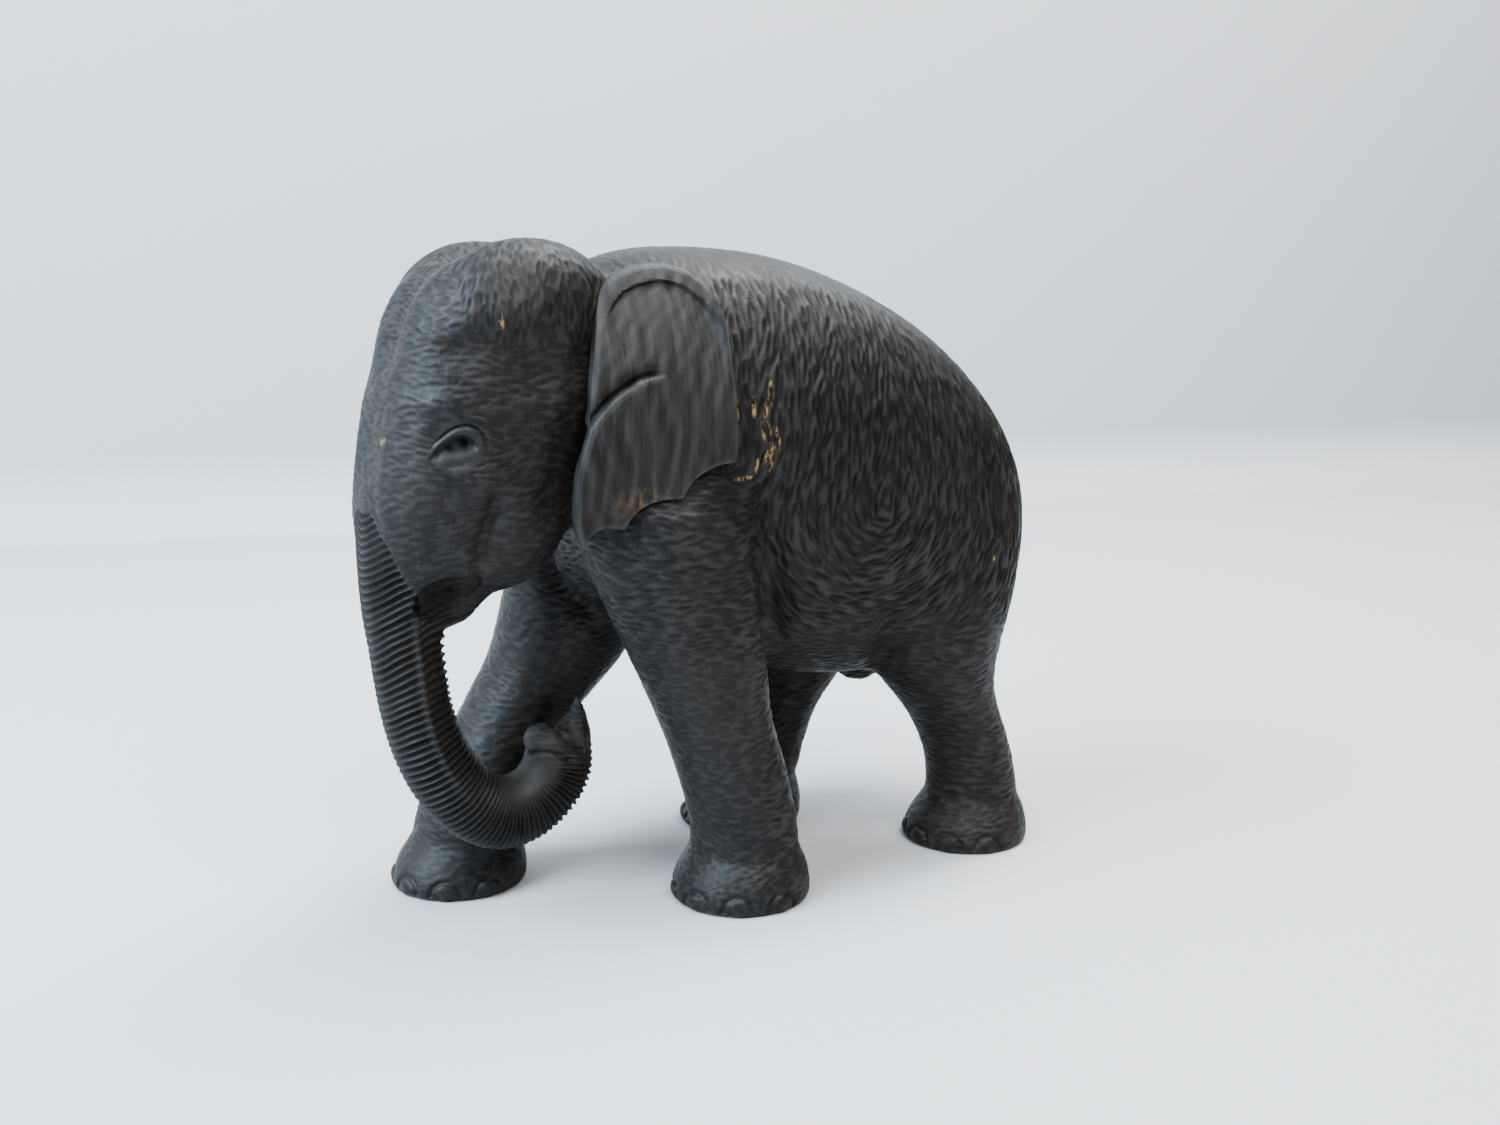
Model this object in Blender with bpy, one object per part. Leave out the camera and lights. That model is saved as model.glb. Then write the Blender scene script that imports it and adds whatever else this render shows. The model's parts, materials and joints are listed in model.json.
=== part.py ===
"""A carved ebony elephant, walking, 190 mm long and 165 mm tall.

The elephant faces -X, its left side is -Y, and it stands on z = 0. It is a
built-up carving: a body block, a head block, a trunk, four legs, two ears
and a tail, glued along their joints and held by hidden dowels and pegs.
Sizes below are in millimetres, and MM turns them into metres.

One blank is made first, from lofts and rounded lumps fused into a single
skin. Thin saw cuts then part it into the blocks, and the dowel holes, the
tail's groove and the ears are fitted to those.
"""

import math

import bmesh
import bpy
import numpy as np
from mathutils import Matrix, Vector

MM = 0.001

# How finely the blank is fused, how far its joints are rounded over, and the
# share of its triangles that is kept once it is smooth.
FUSE_VOXEL = 1.6
SMOOTH_PASSES = 8
KEPT_SHARE = 0.12

# The glue line between two blocks and round a dowel, and the room beyond
# each end of a dowel.
GLUE_GAP = 0.3
END_ROOM = 0.8
RING_SIDES = 32
ROD_SIDES = 20

# Body: x, top, widest height, bottom, half-width.
BODY = (
    (-46, 149, 118, 92, 18),
    (-38, 158, 116, 80, 26),
    (-26, 162.5, 112, 68, 33),
    (-10, 163.5, 107, 60, 38.5),
    (8, 162.5, 103, 54, 41.5),
    (26, 158.5, 100, 49.5, 42.5),
    (44, 151.5, 98, 48.5, 42.5),
    (60, 142, 97, 52, 41),
    (73, 129.5, 96, 58, 37),
    (83, 115, 92, 66, 30),
    (90, 102, 88, 74, 21),
    (93, 92, 87, 82, 9),
)
BODY_SQUARENESS = 2.3

# Head: height, front, back, half-width.
HEAD = (
    (160, -74, -46, 14),
    (154, -81, -40, 20),
    (146, -85.5, -34, 24),
    (136, -88, -32, 25.5),
    (126, -90, -34, 26),
    (116, -92, -38, 25),
    (106, -93.5, -44, 23),
    (97, -94.3, -50, 20),
    (89, -94.6, -57, 16.5),
    (82, -94.7, -64, 12.5),
    (75, -94.4, -71, 10),
)
HEAD_SQUARENESS = 2.4

# Legs: height, x, y, radius. They begin below the floor, so that the flat
# soles are cut with a sharp edge.
LEFT_FORE = (
    (-5, -7, -24, 16.8),
    (0, -7, -24, 18),
    (3, -7, -24, 18.2),
    (7, -6.5, -24, 17.4),
    (11, -6, -24, 15.4),
    (15, -5.8, -24, 14.2),
    (20, -6.1, -24, 13.9),
    (33, -9.5, -24, 14.1),
    (48, -14.4, -23.5, 14.6),
    (63, -18.5, -23, 17),
    (83, -22.6, -20.5, 21),
    (100, -25, -18, 22.5),
    (118, -26, -14, 20),
    (132, -27, -10, 13),
)
RIGHT_FORE = (
    (-5, -63, 25.5, 16.6),
    (0, -63, 25.5, 17.8),
    (3, -62.8, 25.5, 17.8),
    (7, -62, 25.5, 16.8),
    (11, -61, 25.5, 15),
    (15, -60.5, 25.5, 14),
    (20, -59, 25.5, 13.9),
    (30, -54.2, 25.5, 14.2),
    (40, -47.5, 25.5, 15.2),
    (50, -39.5, 25, 17),
    (60, -33, 23.5, 18.6),
    (83, -26, 20.5, 21),
    (100, -25, 18, 22.5),
    (118, -26, 14, 20),
    (132, -27, 10, 13),
)
LEFT_HIND = (
    (-5, 69.4, -24, 16.4),
    (0, 69.4, -24, 17.8),
    (3, 69.6, -24, 17.8),
    (7, 70.4, -24, 16.6),
    (12, 71.5, -24, 14),
    (17, 71.6, -24, 12.9),
    (25, 70, -24, 12.6),
    (34, 66.1, -24, 12.9),
    (41, 62, -24, 13.8),
    (48, 58, -24, 15.9),
    (57, 56, -23.5, 18.8),
    (67, 57, -22, 21.5),
    (80, 59, -19.5, 24),
    (95, 60.5, -16, 25.5),
    (112, 59, -12, 22.5),
    (125, 55, -8, 14),
)
RIGHT_HIND = (
    (-5, 24.3, 24, 16.6),
    (0, 24.4, 24, 17.8),
    (3, 24.8, 24, 17.8),
    (7, 26.6, 24, 16.6),
    (12, 28, 24, 14.3),
    (17, 29.5, 24, 13.7),
    (28, 33.9, 24, 13.3),
    (34, 36.4, 24, 13.9),
    (40, 40, 24, 15.2),
    (48, 44.5, 24, 17.5),
    (57, 49, 23.5, 19.8),
    (67, 53, 22, 21.8),
    (80, 57, 19.5, 24),
    (95, 60, 16, 25.5),
    (112, 59, 12, 22.5),
    (125, 55, 8, 14),
)

# Trunk: x, y, height, half its depth, half its width, from inside the face
# to the lip.
TRUNK = (
    (-84, 0, 104, 10, 10.5),
    (-85.2, 0, 95, 9.8, 10.2),
    (-85.6, 0, 86, 9.5, 9.8),
    (-85, 0, 76, 9.3, 9.6),
    (-84.2, -0.5, 66, 9.1, 9.4),
    (-83.2, -1, 56, 8.9, 9.2),
    (-80.9, -1.8, 46.5, 9, 9.1),
    (-76.8, -2.4, 37.6, 9.2, 9),
    (-71.8, -2.5, 31.2, 9.1, 8.8),
    (-67, -2.5, 27.3, 9.1, 8.6),
    (-61.8, -2.5, 25.7, 9.3, 8.4),
    (-55.6, -2.5, 26.9, 9.3, 8.2),
    (-50.3, -2.5, 30.6, 9.3, 8),
    (-47.4, -2.5, 35, 9.4, 7.8),
    (-46.4, -2.5, 41, 8.6, 7.4),
)

# Rounded lumps fused into the blank: centre and radii. The domes of the head
# and the cheeks are paired, one on each side. The single ones are the two
# lips of the trunk's tip and the fold under the belly.
PAIRED_LUMPS = (
    ((-57.5, 13, 146.5), (22.5, 13.5, 18)),
    ((-67, 11.5, 107), (20, 13.2, 24)),
)
SINGLE_LUMPS = (
    ((-51, -2.5, 41.5), (5, 6.5, 5)),
    ((-41.6, -2.5, 44.5), (3.4, 5, 7)),
    ((50, 0, 48), (9, 5, 5.5)),
)

# Saw cuts: two points in x and z on the joint's line, seen from the side,
# and how far the cut runs in y.
SAW_CUTS = (
    (((-30.5, 175), (-53.8, 66)), (-60, 60)),
    (((-110, 93.2), (-65.5, 77)), (-60, 60)),
    (((-75, 56), (2, 56)), (-60, 60)),
    (((18, 45.5), (92, 45.5)), (-60, -6)),
    (((18, 45.5), (92, 45.5)), (6, 60)),
)

# A point in the middle of each block, to tell them apart once sawn.
BLOCKS = {
    "body_block": (20, 0, 105),
    "head_block": (-65, 0, 120),
    "trunk": (-75, 0, 50),
    "front_left_leg": (-12, -24, 28),
    "front_right_leg": (-50, 25, 28),
    "hind_left_leg": (64, -24, 22),
    "hind_right_leg": (35, 24, 22),
}

# Dowels: diameter, length, centre, and the way each one points.
DOWELS = {
    "neck_dowel_upper": (10, 36, (-38, 0, 138), (-1, 0, 0.21)),
    "neck_dowel_lower": (10, 36, (-45, 0, 106), (-1, 0, 0.21)),
    "trunk_dowel": (6, 22, (-85.4, 0, 84.3), (-0.05, 0, 1)),
    "front_left_dowel": (9, 30, (-16.6, -23.2, 56), (-0.27, 0, 1)),
    "front_right_dowel": (9, 30, (-35.5, 24.3, 56), (0.65, 0, 1)),
    "hind_left_dowel": (9, 28, (59.3, -24, 45.5), (-0.45, 0, 1)),
    "hind_right_dowel": (9, 28, (43, 24, 45.5), (0.55, 0, 1)),
    "left_ear_peg": (3, 8, (-43, -25.6, 133), (0, -1, 0)),
    "right_ear_peg": (3, 8, (-43, 25.6, 133), (0, 1, 0)),
}
DOWEL_JOINS = {
    "neck_dowel_upper": ("head_block", "body_block"),
    "neck_dowel_lower": ("head_block", "body_block"),
    "trunk_dowel": ("trunk", "head_block"),
    "front_left_dowel": ("front_left_leg", "body_block"),
    "front_right_dowel": ("front_right_leg", "body_block"),
    "hind_left_dowel": ("hind_left_leg", "body_block"),
    "hind_right_dowel": ("hind_right_leg", "body_block"),
    "left_ear_peg": ("head_block", "left_ear"),
    "right_ear_peg": ("head_block", "right_ear"),
}

# The ear's outline, x and z, from the top of its front edge round the back
# and along the scalloped lower edge to its tip.
EAR_OUTLINE = (
    (-46.5, 149),
    (-44.3, 153.8),
    (-38.9, 156.8),
    (-31.7, 158.1),
    (-25.4, 156.4),
    (-21.6, 151.8),
    (-20.3, 144.4),
    (-19.8, 134.2),
    (-19.2, 125.2),
    (-18.8, 118.3),
    (-20, 113.4),
    (-25.1, 112.1),
    (-29.6, 108.4),
    (-35.9, 105.8),
    (-40.5, 102.4),
    (-45, 101),
    (-49.5, 98.5),
    (-53.9, 95.3),
    (-55.6, 99.3),
    (-55.7, 106),
    (-53.3, 114.9),
    (-50, 121.5),
    (-48.5, 130),
    (-48, 140),
)
EAR_THICKNESS = 5
EAR_CELLS = (10, 16)

# Tail: x, height and radius, from the tenon inside the rump to the tip.
TAIL = (
    (72, 117, 3.4),
    (80, 116, 3.4),
    (86, 112.5, 3.4),
    (90.2, 105, 3.2),
    (92.3, 96, 3),
    (92.9, 87, 2.8),
    (92.1, 78, 2.6),
    (90, 70, 2.9),
    (86.8, 62, 2.9),
    (84, 56, 1.6),
)

EBONY = (0.022, 0.02, 0.02)
PALE_WOOD = (0.55, 0.38, 0.22)


def spline_rows(stations, count):
    """Rows along a Catmull-Rom spline through every column of the stations."""
    rows = np.asarray(stations, float)
    rows = np.vstack([2 * rows[0] - rows[1], rows, 2 * rows[-1] - rows[-2]])
    at = np.linspace(0, len(stations) - 1, count)
    start = np.minimum(at.astype(int), len(stations) - 2)
    t = (at - start)[:, None]
    a, b, c, d = (rows[start + k] for k in range(4))
    return 0.5 * (
        2 * b
        + (c - a) * t
        + (2 * a - 5 * b + 4 * c - d) * t**2
        + (3 * b - a - 3 * c + d) * t**3
    )


def ring_angles(sides=RING_SIDES):
    return np.arange(sides) * 2 * math.pi / sides


def rounded(angles, squareness):
    """Cosine and sine of the angles on a unit superellipse."""
    cosine, sine = np.cos(angles), np.sin(angles)
    power = 2 / squareness
    return (
        np.sign(cosine) * np.abs(cosine) ** power,
        np.sign(sine) * np.abs(sine) ** power,
    )


def body_rings():
    across, up = rounded(ring_angles(), BODY_SQUARENESS)
    rings = []
    for x, top, middle, bottom, half_width in spline_rows(BODY, 40):
        reach = np.where(up > 0, top - middle, middle - bottom)
        rings.append(
            np.column_stack([np.full(RING_SIDES, x), half_width * across, middle + reach * up])
        )
    return rings


def head_rings():
    along, across = rounded(ring_angles(), HEAD_SQUARENESS)
    rings = []
    for z, front, back, half_width in spline_rows(HEAD, 32):
        middle, reach = (front + back) / 2, (back - front) / 2
        rings.append(
            np.column_stack([middle + reach * along, half_width * across, np.full(RING_SIDES, z)])
        )
    return rings


def leg_rings(stations):
    angles = ring_angles()
    return [
        np.column_stack(
            [x + radius * np.cos(angles), y + radius * np.sin(angles), np.full(RING_SIDES, z)]
        )
        for z, x, y, radius in spline_rows(stations, 4 * len(stations))
    ]


def swept_rings(stations, count, sides=RING_SIDES):
    """Rings square to a path of x, y, z, half-depth and half-width."""
    rows = spline_rows(stations, count)
    angles = ring_angles(sides)
    rings = []
    for row, ahead in zip(rows, np.gradient(rows[:, :3], axis=0), strict=True):
        out = Vector((0, 1, 0)).cross(Vector(ahead)).normalized()
        side = Vector(ahead).cross(out).normalized()
        rings.append(
            row[:3]
            + row[3] * np.outer(np.cos(angles), out)
            + row[4] * np.outer(np.sin(angles), side)
        )
    return rings


def tail_stations(extra=0, room=0):
    """The tail's path, grown by extra and begun deeper by the room given."""
    stations = [(x, 0, z, radius + extra, radius + extra) for x, z, radius in TAIL]
    x, *rest = stations[0]
    return [(x - room, *rest), *stations[1:]]


def add_loft(mesh, rings):
    """Bridges the rings, in millimetres, into a closed skin."""
    loops = [[mesh.verts.new(Vector(point) * MM) for point in ring] for ring in rings]
    for near, far in zip(loops, loops[1:]):
        for k in range(len(near)):
            after = (k + 1) % len(near)
            mesh.faces.new((near[k], near[after], far[after], far[k]))
    mesh.faces.new(loops[0][::-1])
    mesh.faces.new(loops[-1])


def add_lump(mesh, centre, radii):
    place = Matrix.Translation(Vector(centre) * MM) @ Matrix.Diagonal((*radii, 1 / MM)) * MM
    bmesh.ops.create_uvsphere(mesh, u_segments=24, v_segments=16, radius=1, matrix=place)


def add_box(mesh, low, high):
    low, high = Vector(low) * MM, Vector(high) * MM
    size = Matrix.Diagonal((*(high - low), 1))
    bmesh.ops.create_cube(mesh, size=1, matrix=Matrix.Translation((low + high) / 2) @ size)


def add_saw_cut(mesh, line, across):
    """A slab one glue line thick, standing on a line seen from the side."""
    start, end = (Vector((x, 0, z)) for x, z in line)
    off = (end - start).normalized().cross(Vector((0, 1, 0))) * GLUE_GAP / 2
    corners = [
        mesh.verts.new((point + sign * off + Vector((0, y, 0))) * MM)
        for y in across
        for point, sign in ((start, -1), (end, -1), (end, 1), (start, 1))
    ]
    near, far = corners[:4], corners[4:]
    mesh.faces.new(near)
    mesh.faces.new(far[::-1])
    for k in range(4):
        mesh.faces.new((near[k], far[k], far[(k + 1) % 4], near[(k + 1) % 4]))


def object_of(mesh, name):
    """Turns a bmesh, with its faces outwards, into a linked object."""
    bmesh.ops.recalc_face_normals(mesh, faces=mesh.faces)
    data = bpy.data.meshes.new(name)
    mesh.to_mesh(data)
    mesh.free()
    made = bpy.data.objects.new(name, data)
    bpy.context.scene.collection.objects.link(made)
    return made


def settled(source, name):
    """A new object with the source's modifiers applied; the source goes."""
    seen = source.evaluated_get(bpy.context.evaluated_depsgraph_get())
    data = bpy.data.meshes.new_from_object(seen)
    bpy.data.objects.remove(source)
    made = bpy.data.objects.new(name, data)
    bpy.context.scene.collection.objects.link(made)
    return made


def as_cutter(made):
    made.hide_render = True
    made.display_type = "WIRE"
    return made


def add_boolean(target, operation, cutter):
    boolean = target.modifiers.new(f"{operation.lower()} {cutter.name}", "BOOLEAN")
    boolean.operation = operation
    boolean.object = cutter


def fused_blank():
    """Everything that is carved from solid wood, as one smooth skin."""
    mesh = bmesh.new()
    add_loft(mesh, body_rings())
    add_loft(mesh, head_rings())
    add_loft(mesh, swept_rings(TRUNK, 60))
    for stations in (LEFT_FORE, RIGHT_FORE, LEFT_HIND, RIGHT_HIND):
        add_loft(mesh, leg_rings(stations))
    for (x, y, z), radii in PAIRED_LUMPS:
        for side in (-1, 1):
            add_lump(mesh, (x, side * y, z), radii)
    for centre, radii in SINGLE_LUMPS:
        add_lump(mesh, centre, radii)
    blank = object_of(mesh, "blank")
    fuse = blank.modifiers.new("fuse", "REMESH")
    fuse.mode = "VOXEL"
    fuse.voxel_size = FUSE_VOXEL * MM
    round_over = blank.modifiers.new("round over", "SMOOTH")
    round_over.iterations = SMOOTH_PASSES
    thin_out = blank.modifiers.new("thin out", "DECIMATE")
    thin_out.ratio = KEPT_SHARE
    return settled(blank, "blank")


def skin_clearance(blank):
    """The blank grown by one glue line, to fit the ears against it."""
    grown = blank.copy()
    grown.name = "skin_clearance"
    bpy.context.scene.collection.objects.link(grown)
    swell = grown.modifiers.new("swell", "DISPLACE")
    swell.strength = GLUE_GAP * MM
    swell.mid_level = 0
    return as_cutter(settled(grown, "skin_clearance"))


def sawn_blocks(blank):
    """Saws the blank along its joints and the floor, into named blocks."""
    mesh = bmesh.new()
    for line, across in SAW_CUTS:
        add_saw_cut(mesh, line, across)
    add_box(mesh, (-120, -60, -30), (120, 60, 0))
    cuts = as_cutter(object_of(mesh, "saw_cuts"))
    add_boolean(blank, "DIFFERENCE", cuts)
    sawn = settled(blank, "sawn")
    bpy.data.objects.remove(cuts)

    mesh = bmesh.new()
    mesh.from_mesh(sawn.data)
    bpy.data.objects.remove(sawn)
    blocks = {}
    while mesh.verts:
        mesh.verts.ensure_lookup_table()
        island = connected(mesh.verts[0])
        points = np.array([vert.co for vert in island]) / MM
        middle = (points.min(axis=0) + points.max(axis=0)) / 2
        name = min(BLOCKS, key=lambda block: math.dist(BLOCKS[block], middle))
        blocks[name] = object_of(copied(mesh, island), name)
        bmesh.ops.delete(mesh, geom=island, context="VERTS")
    mesh.free()
    return blocks


def connected(start):
    """Every vertex that edges join to the first."""
    found, waiting = {start}, [start]
    while waiting:
        for edge in waiting.pop().link_edges:
            for vert in edge.verts:
                if vert not in found:
                    found.add(vert)
                    waiting.append(vert)
    return list(found)


def copied(mesh, island):
    """A new bmesh of the island's faces."""
    part = bmesh.new()
    island = sorted(island, key=lambda vert: vert.index)
    twins = {vert: part.verts.new(vert.co) for vert in island}
    for face in mesh.faces:
        if face.verts[0] in twins:
            part.faces.new([twins[vert] for vert in face.verts])
    return part


def rod(name, diameter, length, centre, along):
    """A round rod, centred on a point and pointing along a direction."""
    mesh = bmesh.new()
    turn = Vector(along).to_track_quat("Z", "Y").to_matrix().to_4x4()
    bmesh.ops.create_cone(
        mesh,
        cap_ends=True,
        segments=ROD_SIDES,
        radius1=diameter / 2 * MM,
        radius2=diameter / 2 * MM,
        depth=length * MM,
        matrix=Matrix.Translation(Vector(centre) * MM) @ turn,
    )
    return object_of(mesh, name)


def add_dowels(blocks):
    """Makes each dowel and drills its hole in the two blocks that it joins."""
    dowels = {}
    for name, (diameter, length, centre, along) in DOWELS.items():
        dowels[name] = rod(name, diameter, length, centre, along)
        hole_size = diameter + 2 * GLUE_GAP, length + 2 * END_ROOM
        hole = as_cutter(rod(f"{name}_hole", *hole_size, centre, along))
        for block in DOWEL_JOINS[name]:
            add_boolean(blocks[block], "DIFFERENCE", hole)
    return dowels


def ear_reach(x, z):
    """How far the ear's outer face stands from the middle plane."""
    return 37 + 0.28 * (x + 35) - 0.0075 * max(0, z - 115) ** 2


def ear_plate(name, side):
    """A curved plate larger than the ear."""
    mesh = bmesh.new()
    columns = np.linspace(-60, -14, EAR_CELLS[0] + 1)
    rows = np.linspace(91, 162, EAR_CELLS[1] + 1)
    outer, inner = (
        [
            [
                mesh.verts.new(Vector((x, side * (ear_reach(x, z) - depth), z)) * MM)
                for x in columns
            ]
            for z in rows
        ]
        for depth in (0, EAR_THICKNESS)
    )
    for sheet in (outer, inner):
        for low, high in zip(sheet, sheet[1:]):
            for k in range(EAR_CELLS[0]):
                mesh.faces.new((low[k], low[k + 1], high[k + 1], high[k]))
    for front, back in ((outer[0], inner[0]), (outer[-1], inner[-1])):
        for k in range(EAR_CELLS[0]):
            mesh.faces.new((front[k], front[k + 1], back[k + 1], back[k]))
    for column in (0, -1):
        for low in range(EAR_CELLS[1]):
            mesh.faces.new(
                (
                    outer[low][column],
                    outer[low + 1][column],
                    inner[low + 1][column],
                    inner[low][column],
                )
            )
    return object_of(mesh, name)


def add_ear(name, side, skin):
    """The plate, trimmed to the ear's outline and to the skin under it."""
    ear = ear_plate(name, side)
    mesh = bmesh.new()
    loops = [
        [mesh.verts.new(Vector((x, side * y, z)) * MM) for x, z in EAR_OUTLINE]
        for y in (5, 70)
    ]
    mesh.faces.new(loops[0])
    mesh.faces.new(loops[1][::-1])
    for k in range(len(EAR_OUTLINE)):
        after = (k + 1) % len(EAR_OUTLINE)
        mesh.faces.new((loops[0][k], loops[1][k], loops[1][after], loops[0][after]))
    add_boolean(ear, "INTERSECT", as_cutter(object_of(mesh, f"{name}_outline")))
    add_boolean(ear, "DIFFERENCE", skin)
    return ear


def add_tail(body):
    """The tail, whose first length is a tenon, and its groove in the rump."""
    mesh = bmesh.new()
    add_loft(mesh, swept_rings(tail_stations(GLUE_GAP, END_ROOM), 40, ROD_SIDES))
    add_boolean(body, "DIFFERENCE", as_cutter(object_of(mesh, "tail_groove")))
    mesh = bmesh.new()
    add_loft(mesh, swept_rings(tail_stations(), 40, ROD_SIDES))
    return object_of(mesh, "tail")


def wood(name, colour, roughness):
    material = bpy.data.materials.new(name)
    material.use_nodes = True
    shader = material.node_tree.nodes["Principled BSDF"]
    shader.inputs["Base Color"].default_value = (*colour, 1)
    shader.inputs["Roughness"].default_value = roughness
    shader.inputs["Metallic"].default_value = 0
    return material


def main():
    for old in list(bpy.data.objects):
        bpy.data.objects.remove(old)
    blank = fused_blank()
    skin = skin_clearance(blank)
    blocks = sawn_blocks(blank)
    for name, side in (("left_ear", -1), ("right_ear", 1)):
        blocks[name] = add_ear(name, side, skin)
    blocks["tail"] = add_tail(blocks["body_block"])
    dowels = add_dowels(blocks)
    for name, block in blocks.items():
        block.data.materials.clear()
        block.data.materials.append(wood(f"{name}_ebony", EBONY, 0.45))
    for name, dowel in dowels.items():
        dowel.data.materials.append(wood(f"{name}_wood", PALE_WOOD, 0.7))


if __name__ == "__main__":
    main()
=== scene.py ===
"""The looks of a carved ebony elephant.

The blocks of the CAD model are fused into one skin, the skin is modelled and
gouged as a carver would, and it is then sawn again into the same blocks. Each
ear and the tail are made apart. The elephant faces -X, its left side is -Y
and it stands on z = 0. Sizes here are in millimetres, and MM turns them into
metres.
"""

import json
import math

import bmesh
import bpy
import numpy as np
from mathutils import Matrix, Vector
from mathutils.bvhtree import BVHTree

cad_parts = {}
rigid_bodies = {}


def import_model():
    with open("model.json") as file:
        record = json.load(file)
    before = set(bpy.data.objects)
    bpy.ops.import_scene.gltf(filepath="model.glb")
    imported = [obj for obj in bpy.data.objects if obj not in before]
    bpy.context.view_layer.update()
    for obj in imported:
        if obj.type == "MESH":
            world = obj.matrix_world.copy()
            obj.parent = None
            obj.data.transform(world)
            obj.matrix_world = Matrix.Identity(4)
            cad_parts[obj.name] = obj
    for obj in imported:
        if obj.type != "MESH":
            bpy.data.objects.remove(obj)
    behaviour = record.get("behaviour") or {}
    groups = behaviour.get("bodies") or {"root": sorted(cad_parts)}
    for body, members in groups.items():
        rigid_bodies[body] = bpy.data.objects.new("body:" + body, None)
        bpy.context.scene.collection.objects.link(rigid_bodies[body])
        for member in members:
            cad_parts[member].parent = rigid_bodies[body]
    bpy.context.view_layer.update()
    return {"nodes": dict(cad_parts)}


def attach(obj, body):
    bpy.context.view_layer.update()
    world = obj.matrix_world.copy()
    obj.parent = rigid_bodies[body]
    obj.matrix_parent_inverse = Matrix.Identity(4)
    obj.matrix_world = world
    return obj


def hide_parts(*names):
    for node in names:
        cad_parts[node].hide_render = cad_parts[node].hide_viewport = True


MM = 0.001
SEED = 7

BLOCKS = (
    "body_block",
    "head_block",
    "trunk",
    "front_left_leg",
    "front_right_leg",
    "hind_left_leg",
    "hind_right_leg",
)

# The skin: the grid that it is fused on, and how far its joints are rounded.
SKIN_GRID = 0.44
SKIN_ROUNDING = 115

# Saw cuts, as in the CAD model: two points in x and z on the joint's line,
# and how far the cut runs in y.
SAW_CUTS = (
    (((-30.5, 175), (-53.8, 66)), (-60, 60)),
    (((-110, 93.2), (-65.5, 77)), (-60, 60)),
    (((-75, 56), (2, 56)), (-60, 60)),
    (((18, 45.5), (92, 45.5)), (-60, -6)),
    (((18, 45.5), (92, 45.5)), (6, 60)),
)
SAW_KERF = 0.06

# The middle line of the trunk, x, y and height, from inside the face to the
# lip, and the pitch and depth of the ribs along it.
TRUNK_LINE = (
    (-84, 0, 118), (-84.6, 0, 106), (-85.3, 0, 95),
    (-85.6, 0, 86), (-85, 0, 76), (-84.2, -0.5, 66),
    (-83.2, -1, 56), (-80.9, -1.8, 46.5), (-76.8, -2.4, 37.6),
    (-71.8, -2.5, 31.2), (-67, -2.5, 27.3), (-61.8, -2.5, 25.7),
    (-55.6, -2.5, 26.9), (-50.3, -2.5, 30.6), (-47.4, -2.5, 35),
    (-46.4, -2.5, 41), (-45.8, -2.5, 48),
)
RIB_PITCH = 1.88
RIB_DEPTH = 0.86

EYE = (-79.5, 22, 118)
# Painted shade spots, darkening the colour in the pits of each eye and in the hollow inside the mouth:
# place, size and how dark.
PAINTED_SHADE_SPOTS = (
    ((-77.7, 23.1, 119.1), 1.3, 2.2),
    ((-80.4, 21.8, 117.9), 1.0, 1.6),
    ((-79.5, 13, 83.5), 4.8, 1.0),
)

# Where the skin is worked on a grid half as wide: a middle and its radii.
FINE_SPOTS = (
    ((-79.5, -22, 118), (9.5, 9, 9)),
    ((-79.5, 22, 118), (9.5, 9, 9)),
    ((-88, 0, 88), (13, 15, 20)),
    ((-72, -2.5, 45), (34, 13, 38)),
)

# A path carves the skin fully where it lies this near, and not at all this far.
CARVE_NEAR = 3.5
CARVE_FAR = 6.5

# How many places are tried for the gouge strokes, and the cell that they are
# sorted by.
STROKE_TRIES = 95000
STROKE_CELL = 3.4

# Edges sharper than this, in degrees, stay sharp in the shading.
SHARP_ANGLE = 40


# ---------------------------------------------------------------- mesh tools


def points_of(mesh):
    """The mesh's vertices, in millimetres."""
    flat = np.empty(len(mesh.vertices) * 3, np.float32)
    mesh.vertices.foreach_get("co", flat)
    return flat.reshape(-1, 3).astype(float) / MM


def normals_of(mesh):
    flat = np.empty(len(mesh.vertices) * 3, np.float32)
    mesh.vertices.foreach_get("normal", flat)
    return flat.reshape(-1, 3).astype(float)


def set_points(mesh, points):
    mesh.vertices.foreach_set("co", (points * MM).astype(np.float32).ravel())
    mesh.update()


def linked(name, mesh):
    made = bpy.data.objects.new(name, mesh)
    bpy.context.scene.collection.objects.link(made)
    return made


def object_of(mesh, name):
    """Turns a bmesh, with its faces outwards, into a linked object."""
    bmesh.ops.recalc_face_normals(mesh, faces=mesh.faces)
    data = bpy.data.meshes.new(name)
    mesh.to_mesh(data)
    mesh.free()
    return linked(name, data)


def shell(name, rings, count, first, last):
    """A closed mesh through rings of count points each, from the point that closes
    the first ring to the point that closes the last."""
    pairs = [(k, (k + 1) % count) for k in range(count)]
    final = len(rings) - count
    faces = []
    for near in range(0, final, count):
        far = near + count
        faces += [(near + k, near + nxt, far + nxt, far + k) for k, nxt in pairs]
    for k, nxt in pairs:
        faces.append((len(rings), nxt, k))
        faces.append((len(rings) + 1, final + k, final + nxt))
    data = bpy.data.meshes.new(name)
    data.from_pydata((np.vstack([rings, first, last]) * MM).tolist(), [], faces)
    mesh = bmesh.new()
    mesh.from_mesh(data)
    bmesh.ops.recalc_face_normals(mesh, faces=mesh.faces)
    mesh.to_mesh(data)
    mesh.free()
    return linked(name, data)


def apply_modifiers(target):
    seen = target.evaluated_get(bpy.context.evaluated_depsgraph_get())
    mesh = bpy.data.meshes.new_from_object(seen)
    target.modifiers.clear()
    old = target.data
    target.data = mesh
    bpy.data.meshes.remove(old)


def smoothstep(low, high, value):
    t = np.clip((value - low) / (high - low), 0, 1)
    return t * t * (3 - 2 * t)


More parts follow.
